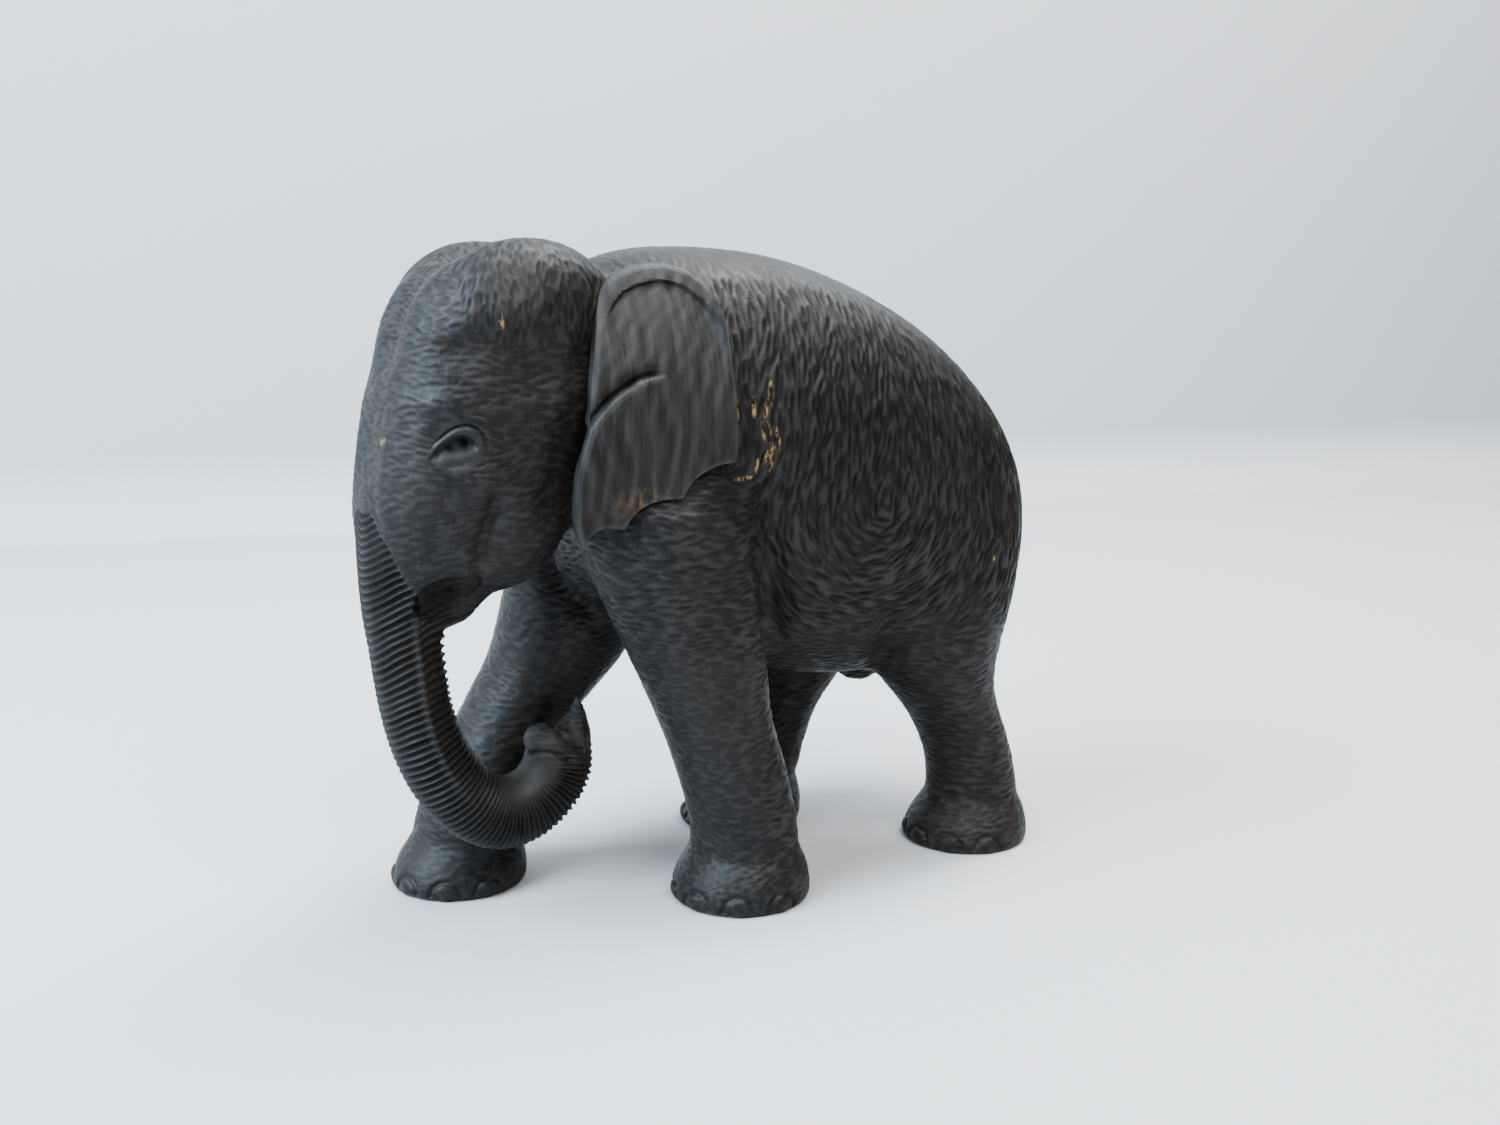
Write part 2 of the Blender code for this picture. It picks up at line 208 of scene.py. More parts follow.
def unit(vectors):
    return vectors / np.maximum(np.linalg.norm(vectors, axis=-1, keepdims=True), 1e-9)


def spline(stations, count):
    """Points along a Catmull-Rom spline through the stations."""
    rows = np.asarray(stations, float)
    rows = np.vstack([2 * rows[0] - rows[1], rows, 2 * rows[-1] - rows[-2]])
    at = np.linspace(0, len(stations) - 1, count)
    start = np.minimum(at.astype(int), len(stations) - 2)
    t = (at - start)[:, None]
    a, b, c, d = (rows[start + k] for k in range(4))
    return 0.5 * (
        2 * b
        + (c - a) * t
        + (2 * a - 5 * b + 4 * c - d) * t**2
        + (3 * b - a - 3 * c + d) * t**3
    )


def near_path(points, path):
    """Each point's nearest place on the path, the way on there, and the share gone."""
    steps = np.diff(path, axis=0)
    lengths = np.linalg.norm(steps, axis=1)
    gone = np.concatenate([[0], np.cumsum(lengths)])
    best = np.full(len(points), np.inf)
    foot, way, share = np.zeros_like(points), np.zeros_like(points), np.zeros(len(points))
    for k, step in enumerate(steps):
        t = np.clip((points - path[k]) @ step / lengths[k] ** 2, 0, 1)
        here = path[k] + t[:, None] * step
        gap = np.sum((points - here) ** 2, axis=1)
        closer = gap < best
        best[closer] = gap[closer]
        foot[closer] = here[closer]
        way[closer] = step / lengths[k]
        share[closer] = (gone[k] + t[closer] * lengths[k]) / gone[-1]
    return foot, way, share


def ripple(points, size, seed):
    """Smooth noise between about -1 and 1, with waves about as long as size."""
    chance = np.random.default_rng(seed)
    total = np.zeros(len(points))
    for _ in range(6):
        wave = chance.normal(size=3)
        wave *= chance.uniform(0.6, 1.5) * 2 * math.pi / (size * np.linalg.norm(wave))
        total += np.sin(points @ wave + chance.uniform(0, 2 * math.pi))
    return total / 2.6


# ---------------------------------------------------------------- the skin


def fused_skin(nodes):
    """The CAD blocks and the dowels inside them, as one smooth quad skin."""
    mesh = bmesh.new()
    for name, node in nodes.items():
        if name in BLOCKS or "dowel" in name:
            mesh.from_mesh(node.data)
    bmesh.ops.remove_doubles(mesh, verts=mesh.verts, dist=1e-7)
    skin = object_of(mesh, "skin")
    fuse = skin.modifiers.new("fuse", "REMESH")
    fuse.mode = "VOXEL"
    fuse.voxel_size = SKIN_GRID * MM
    rounding = skin.modifiers.new("round over", "SMOOTH")
    rounding.iterations = SKIN_ROUNDING
    apply_modifiers(skin)
    return skin


def refine(skin, spots):
    """Splits the skin's faces in four where finer work comes."""
    mesh = bmesh.new()
    mesh.from_mesh(skin.data)
    mesh.faces.ensure_lookup_table()
    middles = np.array([face.calc_center_median()[:] for face in mesh.faces]) / MM
    near = np.zeros(len(middles), bool)
    for centre, radii in spots:
        near |= np.sum(((middles - centre) / radii) ** 2, axis=1) < 1
    edges = {edge for k in np.flatnonzero(near) for edge in mesh.faces[int(k)].edges}
    bmesh.ops.subdivide_edges(mesh, edges=list(edges), cuts=1, use_grid_fill=True)
    mesh.to_mesh(skin.data)
    mesh.free()


class Skin:
    """The skin's vertices, in millimetres, and the ways that they face."""

    def __init__(self, mesh):
        self.mesh = mesh
        self.points = points_of(mesh)
        self.normals = normals_of(mesh)

    def settle(self):
        """Writes the vertices back and finds the ways that they face anew."""
        set_points(self.mesh, self.points)
        self.normals = normals_of(self.mesh)

    def move(self, chosen, amounts):
        self.points[chosen] += self.normals[chosen] * amounts[:, None]

    def seen(self, flip, middle):
        """The vertices and normals, or their mirror images in the plane y = middle."""
        points = self.points * (1, flip, 1)
        points[:, 1] += (1 - flip) * middle
        return points, self.normals * (1, flip, 1)

    def push(self, centre, radii, amount, both=True, middle=0.0):
        """Raises a soft swelling, or sinks a soft hollow."""
        for flip in (1, -1) if both else (1,):
            points, _ = self.seen(flip, middle)
            near = 1 - np.sum(((points - centre) / radii) ** 2, axis=1)
            chosen = np.flatnonzero(near > 0)
            self.move(chosen, amount * near[chosen] ** 2)

    def carve(self, stations, reach, profile, both=True, middle=0.0):
        """Works along a path. The profile is given how far each vertex is to the
        left of the path, seen from outside, and the share of the path gone."""
        path = spline(stations, 6 * len(stations))
        for flip in (1, -1) if both else (1,):
            points, normals = self.seen(flip, middle)
            inside = np.all(
                (points > path.min(0) - reach) & (points < path.max(0) + reach), axis=1
            )
            chosen = np.flatnonzero(inside)
            points, normals = points[chosen], normals[chosen]
            foot, way, share = near_path(points, path)
            offset = points - foot
            height = np.sum(offset * normals, axis=1)
            flat = offset - height[:, None] * normals
            side = np.linalg.norm(flat, axis=1)
            side *= np.sign(np.sum(flat * np.cross(normals, way), axis=1))
            hold = smoothstep(CARVE_FAR, CARVE_NEAR, np.abs(height))
            close = (np.abs(side) < reach) & (hold > 0)
            self.move(chosen[close], profile(side[close], share[close]) * hold[close])

    def groove(self, stations, width, depth, fade=0.2, **where):
        """A soft groove, or with a negative depth a ridge, that fades at both ends."""

        def profile(side, share):
            ends = smoothstep(0, fade, share) * smoothstep(1, 1 - fade, share)
            return -depth * np.exp(-((side / width) ** 2)) * ends

        self.carve(stations, 2.6 * width, profile, **where)

    def step(self, stations, width, edge, rise, fall, fade=0.2, **where):
        """A ledge: the left of the path rises and its right falls."""

        def profile(side, share):
            ends = smoothstep(0, fade, share) * smoothstep(1, 1 - fade, share)
            amount = np.where(side > 0, rise, fall) * np.tanh(side / edge)
            return amount * np.exp(-((side / width) ** 2)) * ends

        self.carve(stations, 2.6 * width, profile, **where)


# ---------------------------------------------------------------- the forms


def shape_head(skin):
    """The domes, the face's planes, the temples and the cheeks."""
    valley = [(-36, 0, 157), (-50, 0, 161), (-65, 0, 160)]
    valley += [(-77, 0, 152), (-85, 0, 141), (-90, 0, 128)]
    skin.groove(valley, 6, 2.4, both=False)
    dome_edge = [(-84, -14.5, 139), (-82.6, -15.9, 140.3), (-75.6, -21.4, 142.5)]
    dome_edge += [(-63.3, -25.7, 144.6), (-53, -26.3, 149)]
    skin.step(dome_edge, 6, 2.4, 1.2, 1.5, fade=0.3)
    skin.push((-63, -26, 134), (14, 9, 11), -1.6)
    skin.push((-93, 0, 121), (8, 9, 15), -0.7, both=False)
    corner = [(-85, -13.5, 134), (-87.5, -11.6, 128), (-89.6, -10.4, 122), (-91.4, -9.6, 112)]
    corner += [(-91.6, -10.2, 103), (-89.5, -11.6, 94)]
    skin.groove(corner, 3.2, -0.7)
    skin.push((-79.5, -21, 118.5), (9.5, 8, 7), -1.3)
    skin.push((-81.5, -18.5, 127.5), (9, 7, 4.5), 0.9)
    skin.push((-74, -23.5, 109.5), (9, 8, 6), 0.7)
    skin.settle()
    cheek = [(-69, -25.8, 110), (-70.9, -24.2, 105.3), (-73, -23.2, 99.7)]
    cheek += [(-74.1, -20.8, 92.7), (-73.5, -19.5, 88)]
    skin.groove(cheek, 5.5, 1.3, fade=0.35)
    skin.groove(cheek, 2.4, 1.9, fade=0.3)
    crevice = [(-47, -24.5, 148), (-49, -28, 138), (-52, -30, 124), (-56, -28, 108), (-57.5, -25, 97)]
    skin.groove(crevice, 3.0, 1.2)


def shape_mouth(skin):
    """The cheek's edge over the mouth, and the lower lip in the hollow under it."""
    lip = [(-86.9, -10.6, 78.5), (-86.7, -11.1, 80.6), (-86.2, -12.3, 83.5), (-85, -13.6, 85.9)]
    lip += [(-83.1, -15, 87.7), (-79.9, -16, 88.6), (-76.7, -17, 88.8), (-73.8, -18.8, 89.2)]
    skin.step(lip, 4.6, 0.4, 0.8, 3.0, fade=0.12)
    skin.push((-80, -13, 83.2), (8, 8, 6), -3.4)
    skin.settle()
    skin.push((-77.6, -13.2, 83), (3.3, 4, 4), 1.9)
    skin.groove([(-74.8, -17.6, 88.2), (-74.2, -15.5, 85), (-75.2, -13, 81.5)], 0.9, 1.1)


# The crease over the left eye's upper lid, the lid's edge and the lower lid's edge.
LID_OUTER = (
    (-85.1, -18.5, 117.3), (-84.1, -19.3, 118.9), (-82.6, -20.3, 120.5),
    (-81.3, -21.1, 121.6), (-79.8, -22.0, 122.5), (-77.7, -23.1, 122.9),
    (-76.0, -23.8, 122.3), (-74.5, -24.2, 120.7), (-73.7, -24.4, 119.2),
    (-72.3, -24.4, 116.5),
)
LID_INNER = (
    (-85.2, -18.6, 115.4), (-84.0, -19.5, 117.3), (-82.7, -20.3, 118.5),
    (-81.0, -21.4, 119.7), (-79.3, -22.3, 120.3), (-77.5, -23.2, 119.9),
    (-76.1, -23.7, 118.7), (-75.2, -24.0, 117.4),
)
LID_LOWER = (
    (-83.9, -19.7, 113.9), (-82.3, -20.8, 114.0), (-80.7, -21.7, 114.2),
    (-78.5, -22.7, 114.6), (-76.1, -23.5, 116.0),
)


def shape_eye(skin):
    """A heavy upper lid over a half-closed eye, as the knife left it."""
    skin.push((-79.4, -22.3, 118.0), (4.6, 5, 2.4), -0.4)
    skin.settle()
    skin.groove(LID_OUTER, 0.42, 0.7, fade=0.25)
    band = (np.array(LID_OUTER[1:8]) + np.array(LID_INNER[:7])) / 2
    skin.groove(band, 0.85, -0.35, fade=0.25)
    skin.settle()
    skin.step(LID_INNER, 1.5, 0.3, 0.2, 1.1, fade=0.15)
    skin.groove(LID_LOWER, 0.7, 0.2, fade=0.4)
    skin.push((-77.7, -23.1, 119.0), (1.9, 2.5, 1.4), -2.4)
    skin.push((-80.4, -21.8, 117.8), (1.2, 2, 0.9), -0.7)


def shape_body(skin):
    """The folds behind the shoulders, before the thighs and under the belly."""
    shoulder = [(-9.5, -38, 116), (-8.2, -38.7, 103.3), (-6.3, -37.4, 88.5)]
    shoulder += [(-2.6, -31.6, 72.3), (2, -27, 60)]
    skin.groove(shoulder, 4.2, 3.3, both=False)
    far_shoulder = [(-10, 38, 114), (-11, 38, 102), (-13, 36, 88), (-17, 31, 74)]
    skin.groove(far_shoulder, 5, 2.2, both=False)
    hip = [(29, -37, 76), (34.5, -32.2, 62.6), (37.2, -25, 54), (39, -20, 50)]
    skin.groove(hip, 3.6, 1.6, both=False)
    chest = [(-43.8, 7.2, 89), (-41.4, 5.9, 83.2), (-39.4, 4.5, 79.3), (-37.3, 3.3, 76.7)]
    chest += [(-35, 2.3, 74.6), (-33.3, 1.2, 73.5), (-31, -1, 72.6)]
    skin.step(chest, 4.5, 0.7, 1.1, 1.8, both=False)
    haunch = [(52, -40.5, 118), (60, -41, 105), (62, -40, 92), (58, -38, 78)]
    skin.groove(haunch, 5, 0.7, both=False)


# Each foot's middle in x and y, and which way each of its toenails faces, in degrees.
FEET = (
    ((-7.5, -24.5), (-66, -26, 15, 55, 95)),
    ((-63, 25.5), (-66, -26, 15, 55, 93)),
    ((69.4, -24), (-78, -38, -2, 33, 72)),
    ((24.4, 24), (-72, -33, 2, 38, 78)),
)


def shape_feet(skin):
    """Toenails cut as arches around the front of each foot, and a fold at each ankle."""
    tree = BVHTree.FromPolygons(
        [Vector(p) for p in skin.points],
        [tuple(face.vertices) for face in skin.mesh.polygons],
    )
    for (x, y), turns in FEET:
        for turn in turns:
            arch = []
            for k in range(-5, 6):
                angle = math.radians(turn + 2.9 * k)
                height = 0.6 + 4.6 * math.sqrt(max(0.0, 1 - (k / 5) ** 2))
                way = Vector((math.cos(angle), math.sin(angle), 0))
                hit = tree.ray_cast(Vector((x, y, height)) - way * 40, way)[0]
                if hit is not None:
                    arch.append(hit[:])
            skin.groove(arch, 0.55, 0.75, fade=0.06, both=False)
            skin.push(np.mean(arch, axis=0) - (0, 0, 1.0), (3.2, 3.2, 3.4), 0.45, both=False)
        height = skin.points[:, 2]
        gap = np.hypot(skin.points[:, 0] - x, skin.points[:, 1] - y)
        chosen = np.flatnonzero((gap < 22) & (height < 20) & (height > 6))
        dip = np.exp(-(((height[chosen] - 13.5) / 2.2) ** 2))
        skin.move(chosen, -0.45 * dip)


# ---------------------------------------------------------------- the trunk


def trunk_places(points, normals):
    """Where points lie on the trunk: how far down its outer face, how far out of
    its middle line and to its side, the share of it gone, and whether they face
    away from the middle line."""
    line = spline(TRUNK_LINE, 260)
    outer_way = np.cross((0, 1, 0), unit(np.gradient(line, axis=0)))
    outer = line + 9.2 * outer_way
    down = np.concatenate([[0], np.cumsum(np.linalg.norm(np.diff(outer, axis=0), axis=1))])
    foot, way, share = near_path(points, line)
    lengths = np.linalg.norm(np.diff(line, axis=0), axis=1)
    gone = np.concatenate([[0], np.cumsum(lengths)]) / lengths.sum()
    offset = points - foot
    front = np.cross((0, 1, 0), way)
    out = np.sum(offset * front, axis=1)
    side = offset[:, 1]
    facing = np.sum(offset * normals, axis=1)
    return np.interp(share, gone, down), out, side, share, facing


def shape_trunk(skin):
    """The trunk's side edges, its ribs, and the lobe and finger at its tip."""
    x, y, z = skin.points.T
    on = (z < 112) & (x < -34) & (np.abs(y + 1) < 17)
    on &= ~((z > 60) & (x > -68)) & (z > 12)
    chosen = np.flatnonzero(on)
    points = skin.points[chosen]
    down, out, side, share, facing = trunk_places(points, skin.normals[chosen])
    gap = np.hypot(out, side)
    turn = np.degrees(np.arctan2(np.abs(side), out))
    height = points[:, 2]
    ours = smoothstep(14.5, 12.5, gap) * smoothstep(0.985, 0.95, share) * (facing > 0)
    below = smoothstep(86, 78, height)
    past = (turn - 86) * gap * math.pi / 180
    edge = np.exp(-((past / 1.0) ** 2)) * below * smoothstep(0.72, 0.55, share)
    hollow = smoothstep(0.2, 4, past) * smoothstep(16, 8, past) * below * smoothstep(0.75, 0.55, share)

    widest = np.interp(height, (84, 88.5, 95.7, 102.6, 104.2), (14.5, 12.9, 10.9, 5.2, 1.5))
    face = smoothstep(-0.4, 1.2, widest - np.abs(side)) * smoothstep(104.2, 101.5, height)
    face = np.maximum(face, smoothstep(86, 84, height)) * (out > -1)
    inner = smoothstep(83, 78, height) * smoothstep(3, -1, out)
    curl = smoothstep(0.62, 0.72, share) * smoothstep(-0.5, -6, out)
    ribbed = np.clip(face * smoothstep(-2, 0, out) + inner, 0, 1) * (1 - curl)
    ribbed *= (1 - 0.6 * edge) * smoothstep(0.97, 0.9, share) * ours
    lean = smoothstep(0.6, 0.35, share)
    along = down + lean * (-0.26 * out + 0.42 * (np.sqrt(side**2 + 9) - 3))
    along += 0.16 * ripple(points, 16, 3) + 0.05 * ripple(points, 5, 4)
    turns = along / RIB_PITCH
    rib = np.floor(turns).astype(int)
    part = turns - rib
    scale = np.random.default_rng(SEED).uniform(0.75, 1.2, 400)[rib % 400]
    scoop = 1 - (2 * part**1.5 - 1) ** 2
    amount = 0.3 * edge - 0.6 * hollow * ours - RIB_DEPTH * scale * scoop * ribbed
    skin.move(chosen, amount)
    # How deep each vertex lies in a rib's scoop, which the material darkens as painted shade.
    cut = np.zeros(len(skin.points))
    cut[chosen] = scoop * ribbed
    calm = np.zeros(len(skin.points))
    calm[chosen] = np.clip(ribbed + below * ours, 0, 1)
    return cut, calm


def shape_tip(skin):
    """The knob and the pointed finger at the end of the trunk."""
    x, y, z = skin.points.T
    near = (x < -32) & (x > -52) & (np.abs(y + 2.5) < 10) & (z < 60) & (z > 42)
    near &= (x + 45.5) * skin.normals[:, 0] + (y + 2.5) * skin.normals[:, 1] > -2
    rise = np.where(near, smoothstep(43.5, 51, z) * smoothstep(-50, -47, x), 0)
    peak = np.array([-42.2, -2.5])
    skin.points[:, :2] += (peak - skin.points[:, :2]) * (0.3 * rise)[:, None]
    gap = np.hypot(skin.points[:, 0] - peak[0], skin.points[:, 1] - peak[1] + 1.5)
    skin.points[:, 2] += rise * (0.6 + 2.2 * np.exp(-((gap / 2.8) ** 2)))
    skin.settle()
    skin.push((-50.8, -5.5, 43.2), (7.5, 8, 5), 1.5, middle=-2.5)
    skin.settle()
    knob_ring = [(-56.2, -2.5, 39.6), (-55.4, -6, 40.6), (-52.5, -8.6, 40.9)]
    knob_ring += [(-49.3, -9, 39.6), (-46.5, -9, 38)]
    skin.groove(knob_ring, 0.6, 1.0, fade=0.1, middle=-2.5)
    notch = [(-48, -2.5, 46.6), (-47.8, -5.5, 46), (-46.8, -8, 44.2), (-44.2, -9, 41.8), (-42, -9.2, 40)]
    skin.groove(notch, 1.0, 1.8, fade=0.1, middle=-2.5)
    rim = [(-41, -7.6, 49), (-40, -8, 46), (-40.4, -8.8, 42.5), (-42, -9, 39.5)]
    skin.groove(rim, 0.75, 1.3, fade=0.2, middle=-2.5)


# ---------------------------------------------------------------- the strokes


def stroke_ways(points, normals):
    """Which way the gouge ran at each point."""
    x, y, z = points.T
    level = unit(np.cross((0.0, 0.0, 1.0), normals) + 1e-6)
    rise = np.cross(normals, level)
    leaning = np.cross(normals, (1.0, 0.0, 0.0)) * np.where(y < 0, 1, -1)[:, None]
    away = np.stack([x - 24.5, np.zeros_like(x), np.minimum(0, z - 100)], 1)
    arcs = unit(np.stack([-away[:, 2], 0 * x, away[:, 0]], 1) + (0, 0, 1e-6))
    slant = np.where((x < 30)[:, None], (0.16, 0.0, 1.0), (0.0, 0.0, 1.0))
    straight = unit(np.broadcast_to(slant, points.shape))
    upper = smoothstep(96, 106, z)[:, None]
    arcs = arcs * np.where(arcs[:, 2] < 0, -1, 1)[:, None]
    flank = unit(arcs * (1 - upper) + straight * upper)
    top = smoothstep(0.55, 0.8, np.abs(normals[:, 2])) * smoothstep(70, 100, z)
    flat = smoothstep(74, 60, z)
    flat = np.maximum(flat, smoothstep(-4, -14, x) * smoothstep(116, 106, z))
    flat = np.maximum(flat, smoothstep(-44, -50, x))
    dome = smoothstep(133, 148, z) * smoothstep(-84, -68, x) * smoothstep(-34, -44, x)
    weights = {
        "level": flat * (1 - dome),
        "rise": dome,
        "flank": (1 - flat) * (1 - top),
        "top": (1 - flat) * top,
    }
    ways = {"level": level, "rise": rise, "flank": flank, "top": leaning}
    real = np.zeros(len(points))
    turned = np.zeros(len(points))
    for name, weight in weights.items():
        angle = np.arctan2(
            np.sum(ways[name] * rise, axis=1), np.sum(ways[name] * level, axis=1)
        )
        real += weight * np.cos(2 * angle)
        turned += weight * np.sin(2 * angle)
    angle = 0.5 * np.arctan2(turned, real)
    angle += 0.16 * ripple(points, 16, 11) + 0.10 * ripple(points, 6, 12)
    return level * np.cos(angle)[:, None] + rise * np.sin(angle)[:, None]


def stroke_sizes(points, normals):
    """Half the length and half the width of the strokes, and their depth."""
    x, _, z = points.T
    head = smoothstep(-44, -50, x)
    dome = head * smoothstep(136, 146, z)
    leg = smoothstep(78, 62, z) * (1 - head)
    foot = smoothstep(14, 10, z)
    back = smoothstep(0.6, 0.9, normals[:, 2]) * smoothstep(110, 135, z) * (1 - head)
    shoulder = (1 - head) * smoothstep(-4, -12, x) * smoothstep(118, 108, z)
    front = head * smoothstep(-78, -88, x)
    length = 3.9 - 1.3 * head - 0.5 * dome - 0.9 * leg - 0.8 * shoulder - 0.6 * foot
    width = 0.74 - 0.08 * head - 0.06 * leg - 0.04 * shoulder
    depth = 0.36 - 0.17 * head + 0.04 * dome - 0.1 * leg - 0.07 * shoulder - 0.24 * back
    depth -= 0.06 * foot + 0.03 * front
    return length, width, depth


class Cells:
    """Finds the vertices near a place, by the small cube that each lies in."""

    def __init__(self, points, size):
        self.size = size
        self.low = points.min(0) - 3 * size
        self.counts = ((points.max(0) - self.low) / size).astype(int) + 4
        keys = self.keys(((points - self.low) / size).astype(int))
        self.order = np.argsort(keys, kind="stable")
        found, starts = np.unique(keys[self.order], return_index=True)
        ends = np.append(starts[1:], len(keys))
        self.ranges = dict(zip(found.tolist(), zip(starts.tolist(), ends.tolist())))
        offsets = [(a, b) for a in (-1, 0, 1) for b in (-1, 0, 1)]
        self.offsets = [
            (a * self.counts[1] + b) * self.counts[2] + c for a, b in offsets for c in (-1, 0, 1)
        ]

    def keys(self, cells):
        return (cells[..., 0] * self.counts[1] + cells[..., 1]) * self.counts[2] + cells[..., 2]

    def near(self, place):
        key = int(self.keys(((place - self.low) / self.size).astype(int)))
        spans = (self.ranges.get(int(key + offset)) for offset in self.offsets)
        parts = [self.order[span[0] : span[1]] for span in spans if span]
        return np.concatenate(parts)


def stroke_places(points, ways, normals, lengths, widths, allowed):
    """Chooses the strokes' middles, spread evenly with more room along the strokes."""
    chance = np.random.default_rng(SEED)
    tries = chance.permutation(np.flatnonzero(allowed))[:STROKE_TRIES]
    cell = 6.0
    taken = {}
    places = []
    kept_points = np.zeros((len(tries), 3))
    for candidate in tries.tolist():
        place = points[candidate]
        a, b, c = (place // cell).astype(int).tolist()
        close = []
        for i in (a - 1, a, a + 1):
            for j in (b - 1, b, b + 1):
                for k in (c - 1, c, c + 1):
                    close += taken.get((i, j, k), ())
        if close:
            offset = kept_points[close] - place
            way, normal = ways[candidate], normals[candidate]
            along = offset @ way / (1.3 * lengths[candidate])
            across = offset @ np.cross(normal, way) / (1.3 * widths[candidate])
            if np.any(along**2 + across**2 + (offset @ normal / 3) ** 2 < 1):
                continue
        kept_points[len(places)] = place
        taken.setdefault((a, b, c), []).append(len(places))
        places.append(candidate)
    return places


def gold_share(point):
    """How many of the strokes near a place went through to paler wood."""
    x, _, z = point
    if -16 < x < -3 and 110 < z < 130:
        return 0.3
    if -72 < x < -54 and 142 < z < 152:
        return 0.03
    if -4 < x < 60 and 95 < z < 135:
        return 0.007
    return 0.0 if x < -34 and z < 60 else 0.001


def gouge(skin, cut, calm):
    """Cuts the strokes: each vertex sinks to the deepest scoop over it."""
    points, normals = skin.points.copy(), skin.normals.copy()
    ways = stroke_ways(points, normals)
    lengths, widths, depths = stroke_sizes(points, normals)
    eye = np.linalg.norm(np.where((False, True, False), np.abs(points), points) - EYE, axis=1)
    calm = np.maximum(calm, smoothstep(7, 4.5, eye))
    allowed = (calm < 0.6) & (points[:, 2] > 1.0)
    places = stroke_places(points, ways, normals, lengths, widths, allowed)
    cells = Cells(points, STROKE_CELL)
    chance = np.random.default_rng(SEED + 1)
    low = np.zeros(len(points))
    gold = np.zeros(len(points))
    for place in places:
        way, normal = ways[place], normals[place]
        turn = chance.normal(0, 0.10)
        side = np.cross(normal, way)
        cosine, sine = math.cos(turn), math.sin(turn)
        way, side = way * cosine + side * sine, side * cosine - way * sine
        length = lengths[place] * chance.uniform(0.75, 1.3)
        width = widths[place] * chance.uniform(0.85, 1.25)
        depth = depths[place] * chance.uniform(0.7, 1.3)
        near = cells.near(points[place])
        offset = points[near] - points[place]
        facing = normals[near] @ normal
        along = offset @ way
        ends = length * np.where(along > 0, 0.75, 1.25)
        inside = (along / ends) ** 2 + (offset @ side / width) ** 2
        hit = (inside < 1) & (facing > 0.3) & (np.abs(offset @ normal) < 2.5)
        near, inside = near[hit], inside[hit]
        low[near] = np.minimum(low[near], -depth * (1 - inside))
        if chance.random() < gold_share(points[place]):
            gold[near] = np.maximum(gold[near], smoothstep(0.2, 0.8, 1 - inside))
    low *= (1 - calm) * smoothstep(0.4, 1.5, points[:, 2])
    skin.points += skin.normals * low[:, None]
    # How deep each vertex lies in a stroke or a rib, which the material darkens as painted shade in the
    # hollows.
    deepest = np.maximum(-low / 0.34, cut)
    return deepest, gold * (1 - calm)


# ---------------------------------------------------------------- the pieces


def give(target, **values):
    """Stores one value for each vertex under each name, for the materials."""
    for name, numbers in values.items():
        made = target.data.attributes.new(name, "FLOAT", "POINT")
        made.data.foreach_set("value", np.asarray(numbers, np.float32))


def slab(mesh, line, across):
    """A slab as thin as a saw's kerf along a line in x and z."""
    start, end = (Vector((x, 0, z)) for x, z in line)
    way = (end - start).normalized()
    turn = Matrix((way, Vector((0, 1, 0)), Vector((-way.z, 0, way.x)))).transposed()
    size = ((end - start).length, across[1] - across[0], SAW_KERF)
    middle = (start + end) / 2 + Vector((0, sum(across) / 2, 0))
    place = Matrix.Translation(middle * MM) @ turn.to_4x4()
    bmesh.ops.create_cube(mesh, size=1, matrix=place @ Matrix.Diagonal((*(s * MM for s in size), 1)))


def swollen(mesh, node, room):
    """Adds a CAD node's shape to the mesh, larger by the room all round."""
    known = set(mesh.verts)
    mesh.from_mesh(node.data)
    fresh = [v for v in mesh.verts if v not in known]
    bmesh.ops.remove_doubles(mesh, verts=fresh, dist=1e-7)
    fresh = [v for v in mesh.verts if v not in known]
    mesh.normal_update()
    for vertex in fresh:
        vertex.co += vertex.normal * vertex.calc_shell_factor() * room * MM


def cut_away(target, mesh):
    """Cuts the mesh's shape out of the target."""
    cutter = object_of(mesh, "cutter")
    cut = target.modifiers.new("cut", "BOOLEAN")
    cut.operation = "DIFFERENCE"
    cut.object = cutter
    cut.solver = "MANIFOLD"
    apply_modifiers(target)
    bpy.data.objects.remove(cutter)


def middle_of(target):
    points = points_of(target.data)
    return (points.min(0) + points.max(0)) / 2


def sawn_blocks(skin, nodes):
    """The skin bored for the dowels, grooved for the tail and sawn into its blocks."""
    bores = bmesh.new()
    for name, node in nodes.items():
        if "dowel" in name or "peg" in name or name == "tail":
            swollen(bores, node, 0.15)
    cut_away(skin, bores)
    saws = bmesh.new()
    for line, across in SAW_CUTS:
        slab(saws, line, across)
    cut_away(skin, saws)
    for other in bpy.context.scene.objects:
        other.select_set(other == skin)
    bpy.context.view_layer.objects.active = skin
    bpy.ops.mesh.separate(type="LOOSE")
    pieces = [o for o in bpy.context.scene.objects if o.name.startswith("skin")]
    blocks = {}
    for name in BLOCKS:
        wanted = middle_of(nodes[name])
        blocks[name] = min(pieces, key=lambda o: np.linalg.norm(middle_of(o) - wanted))
    for piece in pieces:
        if piece not in blocks.values():
            bpy.data.objects.remove(piece)
    return blocks


def finish_mesh(target):
    """Smooth shading, but for sharp edges."""
    target.data.shade_smooth()
    target.data.set_sharp_from_angle(angle=math.radians(SHARP_ANGLE))


# ---------------------------------------------------------------- the ears

EAR_MIDDLE = (-42, 122)
